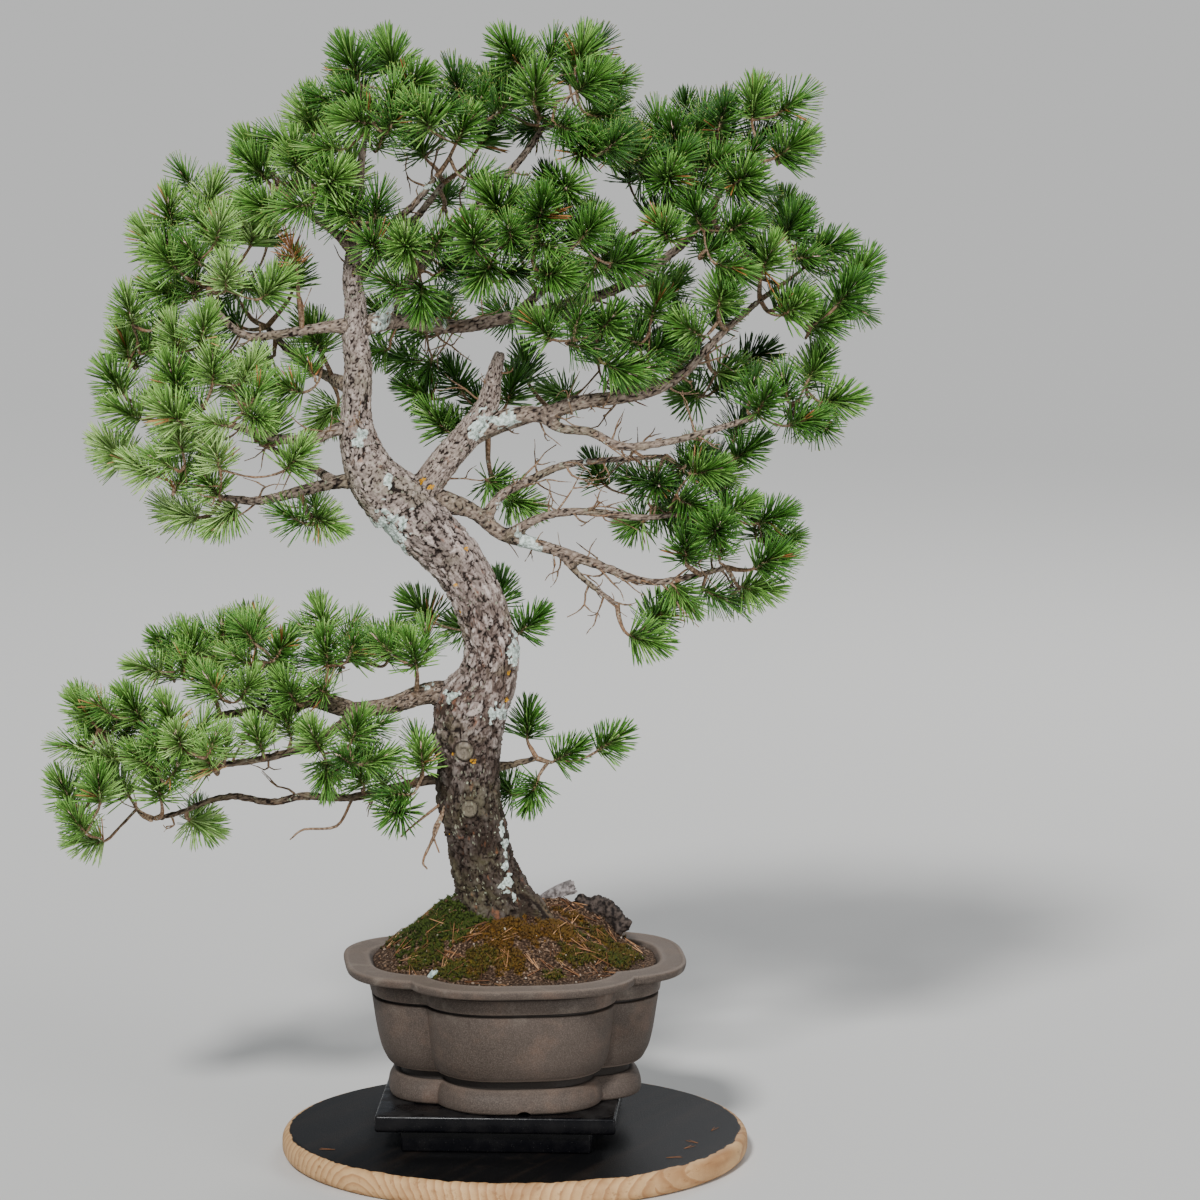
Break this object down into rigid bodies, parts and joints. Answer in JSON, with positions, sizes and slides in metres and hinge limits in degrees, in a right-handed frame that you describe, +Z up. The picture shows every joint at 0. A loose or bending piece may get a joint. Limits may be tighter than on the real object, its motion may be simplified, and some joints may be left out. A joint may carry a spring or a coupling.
{
  "type": "scots pine bonsai",
  "caption": "Old Scots pine bonsai with a curved trunk and a long low branch, in a lobed stoneware pot on a low black stand and a round wooden board.",
  "frame": {"origin": "centre of the round board's underside", "axes": "+Z up, -Y towards the viewer of the picture, the long low branch reaches towards -X"},
  "size_m": [0.8486, 0.465, 1.1319],
  "materials": {
    "board_wood": "bare pine edge, scuffed black painted top",
    "stand_lacquer": "black lacquer",
    "pot_stoneware": "unglazed, fine matte",
    "screen_plastic": "plain",
    "soil": "loose grit and moss",
    "dead_wood": "weathered",
    "bark": "rough plated bark",
    "needles": "waxy green needles",
    "dead_needles": "dry brown needles"
  },
  "bodies": {
    "root": {"drain_screen_left": "screen_plastic", "drain_screen_right": "screen_plastic", "old_root": "dead_wood", "pot": "pot_stoneware", "round_board": "board_wood", "soil": "soil", "spray_back_crown_centre": "needles", "spray_back_crown_left": "needles", "spray_back_crown_middle": "needles", "spray_back_crown_right": "needles", "spray_back_left_low": "needles", "spray_back_left_middle": "needles", "spray_back_left_top": "needles", "spray_back_low": "needles", "spray_back_middle": "needles", "spray_back_middle_left": "needles", "spray_back_pad": "needles", "spray_back_right": "needles", "spray_back_right_low": "needles", "spray_back_shoulder": "needles", "spray_crown_centre_high": "needles", "spray_crown_centre_low": "needles", "spray_crown_centre_mid": "needles", "spray_crown_centre_right": "needles", "spray_crown_front_high": "needles", "spray_crown_front_low": "needles", "spray_crown_left": "needles", "spray_crown_peak": "needles", "spray_crown_right_high": "needles", "spray_crown_right_tip": "needles", "spray_left_dead_tuft": "dead_needles", "spray_left_inner": "needles", "spray_left_low": "needles", "spray_left_low_edge": "needles", "spray_left_mid_face": "needles", "spray_left_mid_outer": "needles", "spray_left_top": "needles", "spray_left_top_inner": "needles", "spray_low_tip": "needles", "spray_low_trunk": "needles", "spray_pad_lower_left": "needles", "spray_pad_lower_mid": "needles", "spray_pad_lower_near": "needles", "spray_pad_upper_far": "needles", "spray_pad_upper_near": "needles", "spray_right_arm_tip": "needles", "spray_right_droop": "needles", "spray_right_face": "needles", "spray_right_inner": "needles", "spray_right_low_end": "needles", "spray_right_low_tip": "needles", "spray_right_middle_front": "needles", "spray_right_shoulder": "needles", "spray_right_tip": "needles", "spray_right_tip_upper": "needles", "spray_trunk_right": "needles", "stand_base": "stand_lacquer", "stand_top": "stand_lacquer", "trunk": "bark", "wood_chip": "dead_wood"}
  },
  "joints": []
}
